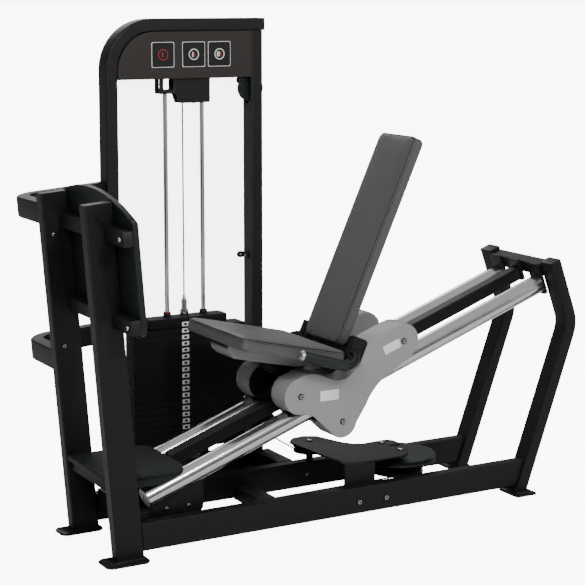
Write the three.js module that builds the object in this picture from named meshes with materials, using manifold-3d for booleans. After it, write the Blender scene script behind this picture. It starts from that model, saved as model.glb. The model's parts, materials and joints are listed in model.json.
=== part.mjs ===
// Leg press machine: a carriage with seat and backrest rolls up two inclined rails,
// a fixed foot plate takes the push, and a two-step cable drive lifts the weight stack.
// Millimetres, +Z up, +X from the foot plate to the rear posts, +Y to the stack tower.
import * as THREE from 'three';
import { mergeVertices } from 'three/addons/utils/BufferGeometryUtils.js';
import Module from 'manifold-3d';

const wasm = await Module();
wasm.setup();

// ---- driving dimensions ----
const origin = new THREE.Vector3(926.4, 76, 0); // middle of the whole machine's footprint
const gap = 0.3;                              // clearance left between pieces that touch
const railTilt = THREE.MathUtils.degToRad(19.94);
const railFootHeight = 131;                   // the rail axes meet x = 0 at this height
const railRadius = 36.5;
const railOffset = 130.5;                     // each rail's distance from the centre plane
const railLow = 155;
const railHigh = 1959.7;
const lean = THREE.MathUtils.degToRad(4.608); // uprights and foot plate lean back
const tubeHalf = 222.5;                       // outer faces of the base and uprights
const tubeWidth = 50;
const baseLow = 27;
const baseHigh = 126;
const towerFront = 433.9;
const towerDepth = 75.6;
const towerBack = towerFront + towerDepth;
const stackY = 471.5;                         // guide rods and weight cable
const guideRodX = { left: 521.5, right: 676.4 };
const cableX = 594.2;                         // the cable drops from the top pulley's left side
const platePitch = 25.4;
const platesLifted = 18;
const headPlateTop = 690;
const headPlateBottom = 651.5;
const cableRadius = 3;
const footThickness = 8;

// ---- colours ----
const finishes = {
  frame: [0x1d1e20, 0.42, 0.35],
  tower: [0x303133, 0.45, 0.3],
  shroud: [0x949494, 0.5, 0.1],
  pad: [0x484848, 0.75, 0],
  chrome: [0xc8cacd, 0.16, 1],
  plates: [0x1a1b1c, 0.55, 0.4],
  header: [0x4b4643, 0.5, 0.1],
  shield: [0xdfe3e2, 0.25, 0],
  pulley: [0x16282b, 0.45, 0],
  cable: [0x121212, 0.5, 0],
  grip: [0x232425, 0.8, 0],
  step: [0x1a2a2d, 0.7, 0],
  footPlate: [0x1f2729, 0.5, 0.3],
  pin: [0x8b1d1d, 0.4, 0],
};

const machine = new THREE.Group();
machine.position.set(-origin.x, -origin.y, 0);
const railFrame = new THREE.Group();          // x along the rails, z square to them
railFrame.position.set(0, 0, railFootHeight);
railFrame.rotation.y = -railTilt;
const leanFrame = new THREE.Group();          // z up along the leaning uprights
leanFrame.rotation.y = -lean;
machine.add(railFrame, leanFrame);
machine.updateMatrixWorld(true);

// ---- solids ----
function toManifold(geometry) {
  let bare = geometry.index ? geometry.toNonIndexed() : geometry.clone();
  bare.deleteAttribute('normal');
  bare.deleteAttribute('uv');
  bare = mergeVertices(bare, 1e-4);
  return new wasm.Manifold(new wasm.Mesh({
    numProp: 3,
    vertProperties: new Float32Array(bare.attributes.position.array),
    triVerts: new Uint32Array(bare.index.array),
  }));
}

function toGeometry(solid) {
  const mesh = solid.getMesh();
  const geometry = new THREE.BufferGeometry();
  geometry.setAttribute('position', new THREE.BufferAttribute(mesh.vertProperties, 3));
  geometry.setIndex(new THREE.BufferAttribute(mesh.triVerts, 1));
  geometry.computeVertexNormals();
  return geometry;
}

function join(first, ...others) {
  let solid = toManifold(first);
  for (const other of others) solid = solid.add(toManifold(other));
  return toGeometry(solid);
}

function cut(first, ...tools) {
  let solid = toManifold(first);
  for (const tool of tools) solid = solid.subtract(toManifold(tool));
  return toGeometry(solid);
}

function common(first, second) {
  return toGeometry(toManifold(first).intersect(toManifold(second)));
}

function roundedRect(x0, x1, y0, y1, radius) {
  const shape = new THREE.Shape();
  const r = Math.min(radius, (x1 - x0) / 2 - 0.01, (y1 - y0) / 2 - 0.01);
  shape.moveTo(x0 + r, y0);
  shape.lineTo(x1 - r, y0);
  shape.absarc(x1 - r, y0 + r, r, -Math.PI / 2, 0);
  shape.lineTo(x1, y1 - r);
  shape.absarc(x1 - r, y1 - r, r, 0, Math.PI / 2);
  shape.lineTo(x0 + r, y1);
  shape.absarc(x0 + r, y1 - r, r, Math.PI / 2, Math.PI);
  shape.lineTo(x0, y0 + r);
  shape.absarc(x0 + r, y0 + r, r, Math.PI, Math.PI * 1.5);
  return shape;
}

// A flat piece of an outline, with its rim softened by edge, lying on z = 0.
function slab(shape, thickness, edge = 0, curveSegments = 2) {
  const geometry = new THREE.ExtrudeGeometry(shape, {
    depth: thickness - 2 * edge,
    bevelEnabled: edge > 0,
    bevelThickness: edge,
    bevelSize: edge,
    bevelOffset: -edge,
    bevelSegments: 1,
    curveSegments,
  });
  return geometry.translate(0, 0, edge);
}

// The outline's x and y become X and Z, and its thickness runs along +Y from y0.
function acrossY(shape, y0, y1, edge = 0, curveSegments = 2) {
  return slab(shape, y1 - y0, edge, curveSegments).rotateX(Math.PI / 2).translate(0, y1, 0);
}

// The outline's x and y become Y and Z, and its thickness runs along +X from x0.
function acrossX(shape, x0, x1, edge = 0, curveSegments = 2) {
  const turn = new THREE.Matrix4().makeBasis(
    new THREE.Vector3(0, 1, 0), new THREE.Vector3(0, 0, 1), new THREE.Vector3(1, 0, 0));
  return slab(shape, x1 - x0, edge, curveSegments).applyMatrix4(turn).translate(x0, 0, 0);
}

function acrossZ(shape, z0, z1, edge = 0, curveSegments = 2) {
  return slab(shape, z1 - z0, edge, curveSegments).translate(0, 0, z0);
}

function block(x0, x1, y0, y1, z0, z1) {
  return new THREE.BoxGeometry(x1 - x0, y1 - y0, z1 - z0)
    .translate((x0 + x1) / 2, (y0 + y1) / 2, (z0 + z1) / 2);
}

function rod(axis, radius, from, to, a, b, sides = 16) {
  const geometry = new THREE.CylinderGeometry(radius, radius, to - from, sides);
  const middle = (from + to) / 2;
  if (axis === 'x') return geometry.rotateZ(Math.PI / 2).translate(middle, a, b);
  if (axis === 'y') return geometry.translate(a, middle, b);
  return geometry.rotateX(Math.PI / 2).translate(a, b, middle);
}

// Outline of a bent bar: a constant width along straight runs joined by round bends.
function bentOutline(points, width, bendRadius) {
  const half = width / 2;
  const side = (sign) => {
    const out = [];
    points.forEach((corner, i) => {
      const before = points[Math.max(i - 1, 0)];
      const after = points[Math.min(i + 1, points.length - 1)];
      if (i === 0 || i === points.length - 1) {
        const along = new THREE.Vector2().subVectors(after, before).normalize();
        out.push(new THREE.Vector2(corner.x - sign * half * along.y, corner.y + sign * half * along.x));
        return;
      }
      const into = new THREE.Vector2().subVectors(corner, before).normalize();
      const away = new THREE.Vector2().subVectors(after, corner).normalize();
      const turn = Math.sign(into.x * away.y - into.y * away.x);
      const angle = Math.acos(into.dot(away));
      const start = corner.clone().addScaledVector(into, -bendRadius * Math.tan(angle / 2));
      const normal = new THREE.Vector2(-into.y, into.x).multiplyScalar(turn);
      const centre = start.clone().addScaledVector(normal, bendRadius);
      const radius = bendRadius - sign * turn * half;
      const steps = Math.max(4, Math.round(angle / 0.16));
      for (let k = 0; k <= steps; k += 1) {
        const spoke = normal.clone().negate().rotateAround(new THREE.Vector2(), turn * angle * k / steps);
        out.push(centre.clone().addScaledVector(spoke, radius));
      }
    });
    return out;
  };
  return new THREE.Shape([...side(-1), ...side(1).reverse()]);
}

// A ring turned about its own axis: profile of [radius, height] closed on itself.
function turned(profile, segments = 36) {
  const points = profile.map(([r, h]) => new THREE.Vector2(r, h));
  return new THREE.LatheGeometry([...points, points[0].clone()], segments);
}

function pulleyWheel(cableLine, rim, width, bore, segments = 24) {
  const w = width / 2;
  const floor = cableLine - cableRadius - gap;
  return turned([
    [bore, -w], [rim, -w], [rim, -w + 3], [floor, -cableRadius],
    [floor, cableRadius], [rim, w - 3], [rim, w], [bore, w],
  ], segments);
}

// ---- cables ----
// A route whose rings stand exactly on its listed points.
class Route extends THREE.Curve {
  constructor(points) {
    super();
    this.points = points;
  }

  getPoint(t, target = new THREE.Vector3()) {
    const place = t * (this.points.length - 1);
    const i = Math.min(Math.floor(place), this.points.length - 2);
    return target.lerpVectors(this.points[i], this.points[i + 1], place - i);
  }

  getPointAt(u, target) {
    return this.getPoint(u, target);
  }

  getTangentAt(u, target = new THREE.Vector3()) {
    const i = Math.round(u * (this.points.length - 1));
    const next = this.points[Math.min(i + 1, this.points.length - 1)];
    const last = this.points[Math.max(i - 1, 0)];
    return target.subVectors(next, last).normalize();
  }
}

function cableAlong(points, radius = cableRadius, sides = 8) {
  const section = new THREE.Shape();
  for (let k = 0; k < sides; k += 1) {
    const angle = (k / sides) * Math.PI * 2;
    const x = radius * Math.cos(angle);
    const y = radius * Math.sin(angle);
    if (k === 0) section.moveTo(x, y);
    else section.lineTo(x, y);
  }
  return new THREE.ExtrudeGeometry(section, {
    steps: points.length - 1,
    extrudePath: new Route(points),
  });
}

function wrap(centre, u, w, radius, from, to, steps) {
  const points = [];
  for (let k = 0; k <= steps; k += 1) {
    const angle = THREE.MathUtils.degToRad(from + (to - from) * k / steps);
    points.push(centre.clone()
      .addScaledVector(u, radius * Math.cos(angle))
      .addScaledVector(w, radius * Math.sin(angle)));
  }
  return points;
}

const X = new THREE.Vector3(1, 0, 0);
const Y = new THREE.Vector3(0, 1, 0);
const Z = new THREE.Vector3(0, 0, 1);

function addPiece(parent, name, finish, geometry) {
  const [color, roughness, metalness] = finishes[finish];
  const material = new THREE.MeshStandardMaterial({ color, roughness, metalness });
  if (finish === 'shield') {
    material.transparent = true;
    material.opacity = 0.35;
  }
  const mesh = new THREE.Mesh(geometry, material);
  mesh.name = name;
  parent.add(mesh);
  return mesh;
}

const sides = [['near', -1], ['far', 1]];

// Low and high faces of a piece that spans a to b, counted outward on one side.
function span(sign, a, b) {
  return sign > 0 ? [a, b] : [-b, -a];
}

function addBoth(parent, name, finish, build) {
  for (const [side, sign] of sides) addPiece(parent, `${name}_${side}`, finish, build(sign));
}

// ---- rear posts: bent tubes whose upper part stands square to the rails ----
const postWidth = 50;
const postTop = 90;
const postFront = 1971;

function railPoint(s, n) {
  return new THREE.Vector2(
    s * Math.cos(railTilt) - n * Math.sin(railTilt),
    railFootHeight + s * Math.sin(railTilt) + n * Math.cos(railTilt));
}

function rearPost(sign) {
  const upper = railPoint(postFront + postWidth / 2, postTop);
  const slope = Math.tan(railTilt);
  const footX = 1698.4;                       // where the lower run's middle meets the floor
  const cornerZ = (upper.x - footX + slope * upper.y) / (2 * slope);
  const corner = new THREE.Vector2(footX + slope * cornerZ, cornerZ);
  const foot = new THREE.Vector2(footX - slope * 40, -40);
  const outline = bentOutline([foot, corner, upper], postWidth, 120);
  const [y0, y1] = span(sign, 159.5, 235.5);
  const [p0, p1] = span(sign, 159.5, 281.5);
  const plate = slab(roundedRect(1644, 1740, p0, p1, 8), footThickness);
  const belowFloor = block(1500, 1800, -400, 400, -100, 0);
  return cut(join(acrossY(outline, y0, y1, 5), plate), belowFloor);
}

// ---- cross bar between the posts, with the plates that the rails end on ----
function rearCrossBar() {
  const bar = acrossY(roundedRect(postFront, postFront + 49, 30, 81, 5), -159.2, 159.2, 0, 2);
  let piece = bar;
  for (const [, sign] of sides) {
    const [y0, y1] = span(sign, railOffset - 43, railOffset + 28.7);
    const plate = acrossX(roundedRect(y0, y1, -45, 84, 10), railHigh + gap, postFront + 1);
    piece = join(piece, plate);
  }
  const middle = acrossX(roundedRect(-30, 30, -4, 84, 6), railHigh + gap, postFront + 1);
  return join(piece, middle);
}

// ---- front uprights with foot plates, notched for the two cross tubes ----
const uprightDepth = 101.6;
const uprightTop = 1235;
const crossTubes = { upper: 1132, lower: 836.6 };
const crossDepth = 38.1;
const crossHeight = 50.8;

function frontUpright(sign) {
  const [y0, y1] = span(sign, tubeHalf - tubeWidth, tubeHalf);
  const tube = slab(roundedRect(0, uprightDepth, y0, y1, 6), uprightTop + 40).translate(0, 0, -40);
  const plateShape = new THREE.Shape();
  const p = { x0: -54, x1: 106, y0: sign < 0 ? -272.5 : 137.5, y1: sign < 0 ? -167.5 : 227.5, c: 16 };
  plateShape.moveTo(p.x0 + p.c, p.y0);
  plateShape.lineTo(p.x1 - p.c, p.y0);
  plateShape.lineTo(p.x1, p.y0 + p.c);
  plateShape.lineTo(p.x1, p.y1 - p.c);
  plateShape.lineTo(p.x1 - p.c, p.y1);
  plateShape.lineTo(p.x0 + p.c, p.y1);
  plateShape.lineTo(p.x0, p.y1 - p.c);
  plateShape.lineTo(p.x0, p.y0 + p.c);
  const plate = slab(plateShape, footThickness);
  plate.applyMatrix4(new THREE.Matrix4().makeRotationY(lean));
  const belowFloor = block(-300, 300, -400, 400, -100, 0)
    .applyMatrix4(new THREE.Matrix4().makeRotationY(lean));
  const notches = Object.values(crossTubes).map((z) => block(
    uprightDepth - crossDepth - gap, uprightDepth + 5, -400, 400,
    z - crossHeight / 2 - gap, z + crossHeight / 2 + gap));
  return cut(join(tube, plate), belowFloor, ...notches);
}

function crossTube(z) {
  const low = z - crossHeight / 2;
  const shape = roundedRect(uprightDepth - crossDepth, uprightDepth, low, low + crossHeight, 5);
  return acrossY(shape, -367.5, 367.5, 0, 2);
}

// ---- foot plate: a thick plate with an arched top and a recess for its tread ----
const footPlateLow = 792.6;
const footPlateShoulder = 1181;
const footPlateCrown = 1269;
const footPlateHalf = 367.5;
const footPlateThick = 22;

function archedOutline(inset, cornerRadius) {
  const half = footPlateHalf - inset;
  const low = footPlateLow + inset;
  const shoulder = footPlateShoulder - inset * 0.8;
  const rise = footPlateCrown - footPlateShoulder;
  const radius = (half * half + rise * rise) / (2 * rise);
  const spread = Math.asin(half / radius);
  const shape = new THREE.Shape();
  shape.moveTo(-half + cornerRadius, low);
  shape.lineTo(half - cornerRadius, low);
  shape.absarc(half - cornerRadius, low + cornerRadius, cornerRadius, -Math.PI / 2, 0);
  shape.lineTo(half, shoulder);
  shape.absarc(0, shoulder + rise - radius, radius, Math.PI / 2 - spread, Math.PI / 2 + spread);
  shape.lineTo(-half, low + cornerRadius);
  shape.absarc(-half + cornerRadius, low + cornerRadius, cornerRadius, Math.PI, Math.PI * 1.5);
  return shape;
}

function footPlate() {
  const back = uprightDepth + gap;
  const front = back + footPlateThick;
  const body = acrossX(archedOutline(0, 40), back, front, 3, 10);
  const recess = acrossX(archedOutline(26, 30), front - 4, front + 5, 0, 10);
  return cut(body, recess);
}

// ---- link arms from the far upright to the tower ----
function linkArm(z, flangeLow, flangeHigh) {
  const middle = 27;                          // middle of the arm, from the upright's back edge
  const towerSide = 506.5;
  const outline = bentOutline([
    new THREE.Vector2(middle, tubeHalf + gap),
    new THREE.Vector2(middle, towerSide - tubeWidth / 2),
    new THREE.Vector2(420, towerSide - tubeWidth / 2),
  ], tubeWidth, 70);
  const arm = slab(outline, 76, 5).translate(0, 0, z - 38);
  const flange = acrossY(roundedRect(6, 60, flangeLow, flangeHigh, 8), tubeHalf + gap, tubeHalf + 8);
  const piece = join(arm, flange);
  piece.applyMatrix4(new THREE.Matrix4().makeRotationY(-lean));
  return cut(piece, block(265.8 - gap, 600, 300, 700, 0, 1600));
}

// ---- base tubes, step and lower beams ----
function baseTube(sign) {
  const [y0, y1] = span(sign, tubeHalf - tubeWidth, tubeHalf);
  const tube = acrossX(roundedRect(y0, y1, baseLow, baseHigh, 6), 40, 1780, 0, 2);
  const leaning = new THREE.Matrix4().makeRotationY(-lean);
  const uprightSpace = block(-60, uprightDepth + gap, -400, 400, -40, 300).applyMatrix4(leaning);
  const slope = Math.tan(railTilt);
  const postSpace = new THREE.Shape([
    new THREE.Vector2(1671.4, 0), new THREE.Vector2(1900, 0),
    new THREE.Vector2(1900, 200), new THREE.Vector2(1671.4 + 200 * slope, 200),
  ]);
  return cut(tube, uprightSpace, acrossY(postSpace, -300, 300));
}

function stepPlate() {
  const outline = (inset) => {
    const half = tubeHalf - tubeWidth - gap - inset;
    const corner = 50 - inset;
    const shape = new THREE.Shape();
    shape.moveTo(-18 + inset, -half);
    shape.lineTo(292 - inset - corner, -half);
    shape.absarc(292 - inset - corner, -half + corner, corner, -Math.PI / 2, 0);
    shape.lineTo(292 - inset, half - corner);
    shape.absarc(292 - inset - corner, half - corner, corner, 0, Math.PI / 2);
    shape.lineTo(-18 + inset, half);
    return shape;
  };
  const top = 289;
  const plate = slab(outline(0), 20, 3, 6).translate(0, 0, top - 20);
  const skirt = slab(outline(14), 40, 0, 6).translate(0, 0, top - 55);
  const hollow = slab(outline(19), 60, 0, 6).translate(0, 0, top - 72);
  const railSpace = sides.map(([, sign]) => rod('x', railRadius + 2.5, 100, 500, sign * railOffset, 0)
    .applyMatrix4(new THREE.Matrix4().makeRotationY(-railTilt)).translate(0, 0, railFootHeight));
  return cut(join(plate, skirt), hollow, ...railSpace);
}

const frontPulley = { x: 225, y: -57.5, z: 123, line: 45 };

function railFootBeam() {
  const beam = acrossX(roundedRect(-172.2, 172.2, 60, 150, 6), 96, 140);
  const underRail = (y0, y1, n, high) => acrossY(new THREE.Shape([
    new THREE.Vector2(138, 100), new THREE.Vector2(350, 100), new THREE.Vector2(370, 120),
    new THREE.Vector2(370, railPoint((370 + n * 0.341) / 0.94, n).y),
    new THREE.Vector2(high, railPoint((high + n * 0.341) / 0.94, n).y), new THREE.Vector2(138, 140),
  ]), y0, y1);
  const plates = sides.map(([, sign]) => {
    const [y0, y1] = span(sign, railOffset - 6, railOffset + 6);
    return underRail(y0, y1, -railRadius - gap, 186);
  });
  const spinePlate = underRail(-6, 6, 1.7, 310);
  const cheeks = [-75, -46].map((y) => acrossY(roundedRect(136, 262, 84, 148, 12), y, y + 6));
  const axle = rod('y', 8, -74, -41, frontPulley.x, frontPulley.z);
  return join(beam, ...plates, spinePlate, ...cheeks, axle);
}

function lowCrossBeam() {
  return acrossX(roundedRect(-172.2, 172.2, baseLow, 76, 5), 650, 720);
}

// ---- tower ----
const leftColumn = [265.8, 313.3];
const rightColumn = [873.4, 922.5];
const beamLow = 1783;
const beamHigh = 1830.5;
const bowBend = 166;                          // bend radius of the bow's middle line

function towerBow() {
  const mid = (leftColumn[0] + leftColumn[1]) / 2;
  const top = (beamLow + beamHigh) / 2;
  const outline = bentOutline([
    new THREE.Vector2(mid, 4), new THREE.Vector2(mid, top), new THREE.Vector2(934, top),
  ], beamHigh - beamLow, bowBend);
  const foot = slab(roundedRect(250, 331, towerFront - 10, towerBack + 10, 8), footThickness);
  return join(acrossY(outline, towerFront, towerBack, 5), foot);
}

const columnPulley = { x: 887, z: 1560, line: 45 };
const basePulley = { x: 932, y: 426.5, z: 231, line: 45 };

function towerRightColumn() {
  const section = roundedRect(...rightColumn, towerFront, towerBack, 6);
  const column = slab(section, beamLow - gap - 4).translate(0, 0, 4);
  const foot = slab(roundedRect(858, 938, towerFront - 10, towerBack + 10, 8), footThickness);
  const slot = block(860, 940, stackY - 14, stackY + 14, 1500, 1620);
  const axle = rod('y', 8, towerFront + 5, towerBack - 5, columnPulley.x, columnPulley.z);
  const cheekShape = roundedRect(basePulley.y - 30, towerFront + 12, 196, 266, 18);
  const inner = acrossX(cheekShape, 909, 916);
  const outerShape = roundedRect(basePulley.y - 30, 505, 196, 266, 18);
  const outer = acrossX(outerShape, 948, 954);
  const web = block(918, 954, 494, 500, 202, 260);
  const pulleyAxle = rod('x', 8, 910, 953, basePulley.y, basePulley.z);
  return join(cut(column, slot), foot, axle, inner, outer, web, pulleyAxle);
}

function towerBaseBeam(x0, x1) {
  return acrossX(roundedRect(tubeHalf + gap, towerFront - 10 - gap, baseLow, baseHigh, 6), x0, x1, 0, 2);
}

// The low frame between the columns carries the stack and the guide rods.
function stackBase() {
  const beam = acrossX(roundedRect(towerFront, towerBack, baseLow, baseHigh, 6),
    leftColumn[1] + gap + 0.4, rightColumn[0] - gap, 0, 2);
  const buffers = Object.values(guideRodX).map((x) => rod('z', 19, 120, 168, x, stackY));
  const bores = Object.values(guideRodX).map((x) => rod('z', 9, 60, 200, x, stackY));
  return cut(join(beam, ...buffers), ...bores);
}

function guideRod(x, top) {
  return rod('z', 8.5, 61, top - gap, x, stackY);
}

function headerPanel() {
  const corner = 152;                         // clears the inside of the bow's bend
  const panel = (inset) => {
    const x0 = leftColumn[1] + gap + inset;
    const x1 = rightColumn[0] - gap - inset;
    const z0 = 1605 + inset;
    const z1 = beamLow - gap - inset;
    const shape = new THREE.Shape();
    shape.moveTo(x0, z0);
    shape.lineTo(x1, z0);
    shape.lineTo(x1, z1);
    shape.absarc(x0 + corner, z1 - corner, corner, Math.PI / 2, Math.PI);
    return shape;
  };
  return cut(
    acrossY(panel(0), towerFront, towerFront + 14, 2, 8),
    acrossY(panel(5), towerFront + 3, towerFront + 40, 0, 8));
}

function shieldPanel() {
  return acrossY(roundedRect(316, 872.5, 150, 1603, 20), towerBack - 3, towerBack);
}

const topPulley = { x: 639.2, z: 1560, line: 45 };

const rodHolders = { left: 1548, right: 1512 }; // undersides that the guide rods end on

// An inverted channel that hangs from the top beam and holds the guide rods' ends.
function topPulleyBracket() {
  const outline = new THREE.Shape([
    new THREE.Vector2(490, rodHolders.left), new THREE.Vector2(560, rodHolders.left),
    new THREE.Vector2(572, rodHolders.right), new THREE.Vector2(701, rodHolders.right),
    new THREE.Vector2(701, 1620), new THREE.Vector2(668, 1640),
    new THREE.Vector2(668, beamLow - gap), new THREE.Vector2(545, beamLow - gap),
    new THREE.Vector2(545, 1640), new THREE.Vector2(490, 1620),
  ]);
  const cheeks = [stackY - 23, stackY + 17].map((y) => acrossY(outline, y, y + 6));
  const web = block(545, 668, stackY - 20, stackY + 20, beamLow - 6 - gap, beamLow - gap);
  const spacer = rod('y', 12, stackY - 20, stackY + 20, 600, 1690);
  const axle = rod('y', 8, stackY - 20, stackY + 20, topPulley.x, topPulley.z);
  const holders = [
    block(495, 560, stackY - 20, stackY + 20, rodHolders.left, rodHolders.left + 8),
    block(673, 701, stackY - 20, stackY + 20, rodHolders.right, rodHolders.right + 8),
  ];
  const opening = acrossY(roundedRect(505, 548, 1562, 1606, 8), stackY - 40, stackY + 40);
  return cut(join(...cheeks, web, spacer, axle, ...holders), opening);
}

// ---- weight stack ----
const liftedLow = headPlateBottom - platesLifted * platePitch - gap;
const pinHeight = liftedLow + platePitch / 2;

function combBlock(x0, x1, y0, y1, z0, count, groove) {
  const comb = (a, b) => {
    const points = [];
    for (let k = 0; k < count; k += 1) {
      const low = z0 + k * platePitch;
      const high = low + platePitch;
      points.push(new THREE.Vector2(b, low), new THREE.Vector2(b, high - 1.6));
      if (k < count - 1) {
        points.push(new THREE.Vector2(b - groove, high - 1.6), new THREE.Vector2(b - groove, high));
      }
    }
    const mirror = points.map((p) => new THREE.Vector2(a + b - p.x, p.y)).reverse();
    return new THREE.Shape([...points, ...mirror]);
  };
  return common(acrossY(comb(x0, x1), y0, y1), acrossX(comb(y0, y1), x0, x1));
}

function rodBores(z0, z1) {
  return [
    ...Object.values(guideRodX).map((x) => rod('z', 9.5, z0, z1, x, stackY)),
    rod('z', 11.5, z0, z1, cableX, stackY),
  ];
}

const stackFront = 427.5;
const stackBack = 504;

function liftedPlates() {
  const plates = combBlock(361, 833, stackFront, stackBack, liftedLow, platesLifted, 4);
  return cut(plates, ...rodBores(100, 700), rod('y', 6, 300, stackY, cableX, pinHeight, 16));
}

function restingPlate() {
  const shape = roundedRect(361, 833, stackFront, stackBack, 4);
  const low = liftedLow - platePitch;
  const plate = acrossZ(shape, low + 0.9, liftedLow - 1.2, 0, 2);
  return cut(plate, ...rodBores(100, 700));
}

function headPlate() {
  const shape = roundedRect(428, 760, stackFront, stackBack, 10);
  const plate = acrossZ(shape, headPlateBottom, headPlateTop, 3, 3);
  const bushes = Object.values(guideRodX).map((x) => rod('z', 15, headPlateTop - 1, headPlateTop + 16, x, stackY));
  return cut(join(plate, ...bushes), ...rodBores(600, 800));
}

function selectorStem() {
  const stem = rod('z', 10, liftedLow + 2, headPlateTop + gap, cableX, stackY);
  const collar = rod('z', 17, headPlateTop + gap, headPlateTop + 22, cableX, stackY, 6);
  const adjuster = rod('z', 11, headPlateTop + 20, headPlateTop + 62, cableX, stackY);
  const eye = rod('z', 7, headPlateTop + 60, headPlateTop + 78, cableX, stackY);
  const pinHole = rod('y', 5.4, stackY - 20, stackY + 20, cableX, pinHeight, 16);
  return cut(join(stem, collar, adjuster, eye), pinHole);
}

function selectorPin() {
  const shaft = rod('y', 5, stackFront - 20, stackY + 8, 0, 0, 16);
  const knob = turned([[4, 0], [15, 0], [18, 4], [18, 22], [14, 30], [4, 30]], 24)
    .translate(0, stackFront - 44, 0);
  const core = rod('y', 4.5, stackFront - 43, stackFront - 15, 0, 0, 16);
  return join(shaft, knob, core).translate(cableX, 0, pinHeight);
}

// ---- low pulleys ----
const sidePulley = { x: 990, y: 185.5, z: 176, line: 58 };
const drum = { x: 1262, y: -17.5, bigZ: 160, bigLine: 144, smallZ: 108, smallLine: 96 };

// A flanged plate over the side pulley and the drum shaft, bolted down to both base tubes.
function lowPulleyBracket() {
  const deg = THREE.MathUtils.degToRad;
  const outline = new THREE.Shape();
  outline.absarc(sidePulley.x, sidePulley.y, 78, deg(40), deg(195));
  outline.lineTo(945, -120);
  outline.lineTo(935, -172.2);
  outline.lineTo(1175, -172.2);
  outline.absarc(1178, -107.2, 65, deg(-85), deg(-10));
  outline.lineTo(1276, 5);
  outline.absarc(1244, 22, 36, deg(-20), deg(100));
  outline.lineTo(1150, 52);
  outline.quadraticCurveTo(1110, 60, 1090, 110);
  const plate = acrossZ(outline, 196, 204);
  const post = rod('z', 14, baseHigh + gap, 163, sidePulley.x, sidePulley.y);
  const sideAxle = rod('z', 8, 150, 200, sidePulley.x, sidePulley.y);
  const drumAxle = rod('z', 12, 76, 200, drum.x, drum.y);
  const drumCap = rod('z', 22, 198, 209, drum.x - 14, drum.y);
  const flange = acrossY(roundedRect(935, 1065, 60, 204, 12), -172.2, -164.2);
  return join(plate, post, sideAxle, drumAxle, drumCap, flange);
}

function sideWheel() {
  return pulleyWheel(sidePulley.line, 64, 22, 8.3, 28).rotateX(Math.PI / 2);
}

function compoundWheel() {
  const seat = cableRadius + 4 * gap;         // room for the cable's facets round the wide grooves
  const big = drum.bigLine - seat;
  const small = drum.smallLine - seat;
  const z = drum.bigZ;
  const low = drum.smallZ;
  return turned([
    [12.4, low - 10], [103, low - 10], [103, low - 8.5], [small, low - 3.6], [small, low + 3.6],
    [103, low + 8.5], [103, low + 10], [60, low + 12], [60, z - 12], [150, z - 12],
    [150, z - 6], [big, z - 3], [big, z + 3], [150, z + 6], [150, z + 9], [140, z + 12],
    [40, z + 12], [40, z + 22], [12.4, z + 22],
  ], 36).rotateX(Math.PI / 2);
}

// ---- cables along their real routes ----
function weightCable() {
  const top = new THREE.Vector3(topPulley.x, stackY, topPulley.z);
  const column = new THREE.Vector3(columnPulley.x, stackY, columnPulley.z);
  const base = new THREE.Vector3(basePulley.x, basePulley.y, basePulley.z);
  const side = new THREE.Vector3(sidePulley.x, sidePulley.y, sidePulley.z);
  const wheel = new THREE.Vector3(drum.x, drum.y, drum.bigZ);
  return cableAlong([
    ...wrap(top, X, Z, topPulley.line, 180, 90, 8),
    ...wrap(column, X, Z, columnPulley.line, 90, 0, 8),
    ...wrap(base, Y, Z, basePulley.line, 0, -90, 8),
    ...wrap(side, X, Y, sidePulley.line, -180, -90, 8),
    ...wrap(wheel, X, Y, drum.bigLine, 90, -70, 18),
  ]);
}

function carriageCableLow() {
  const wheel = new THREE.Vector3(drum.x, drum.y, drum.smallZ);
  const front = new THREE.Vector3(frontPulley.x, frontPulley.y, frontPulley.z);
  const climb = 90 + THREE.MathUtils.radToDeg(railTilt);
  return cableAlong([
    ...wrap(wheel, X, Y, drum.smallLine, 60, -88, 14),
    ...wrap(front, X, Z, frontPulley.line, -92, -(360 - climb), 12),
  ]);
}

const cableEnd = 868;                         // where the cable's eye meets the carriage, along the rails

function frontPulleyTop() {
  const dx = frontPulley.x;
  const dz = frontPulley.z - railFootHeight;
  return {
    s: dx * Math.cos(railTilt) + dz * Math.sin(railTilt),
    n: -dx * Math.sin(railTilt) + dz * Math.cos(railTilt) + frontPulley.line,
  };
}

function carriageCableRun() {
  const { s, n } = frontPulleyTop();
  return cableAlong([
    new THREE.Vector3(s + 0.5, frontPulley.y, n), new THREE.Vector3(cableEnd - gap, frontPulley.y, n),
  ]);
}

// ---- carriage: roller pods, frame, seat and backrest ----
const rollers = { front: [815.6, 83], low: [942.5, -83], rear: [1283.5, 83] };
const podOuter = 188.5;
const podInner = 80.5;
const podSkin = 6;

function podOutline(grow) {
  const [front, low, rear] = Object.values(rollers);
  const shape = new THREE.Shape();
  const deg = THREE.MathUtils.degToRad;
  shape.absarc(low[0], low[1], 62 + grow, deg(200), deg(330));
  shape.lineTo(1054, -72 - grow);
  shape.quadraticCurveTo(1100 + grow, -26 - grow, 1160, -10 - grow);
  shape.lineTo(1299, 14 - grow);
  shape.absarc(rear[0], rear[1], 66 + grow, deg(-70), deg(95));
  shape.lineTo(1150, 148 + grow);
  shape.quadraticCurveTo(1128 - grow, 143 + grow, 1091 - grow, 94 + grow);
  shape.quadraticCurveTo(1060, 63 + grow, 1010, 63 + grow);
  shape.quadraticCurveTo(975 + grow, 66 + grow, 948 + grow, 92 + grow);
  shape.quadraticCurveTo(900, 148 + grow, 857, 151 + grow);
  shape.absarc(front[0], front[1], 68 + grow, deg(80), deg(250));
  shape.quadraticCurveTo(838 + grow, 5, 846 - grow, -28);
  return shape;
}

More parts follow.
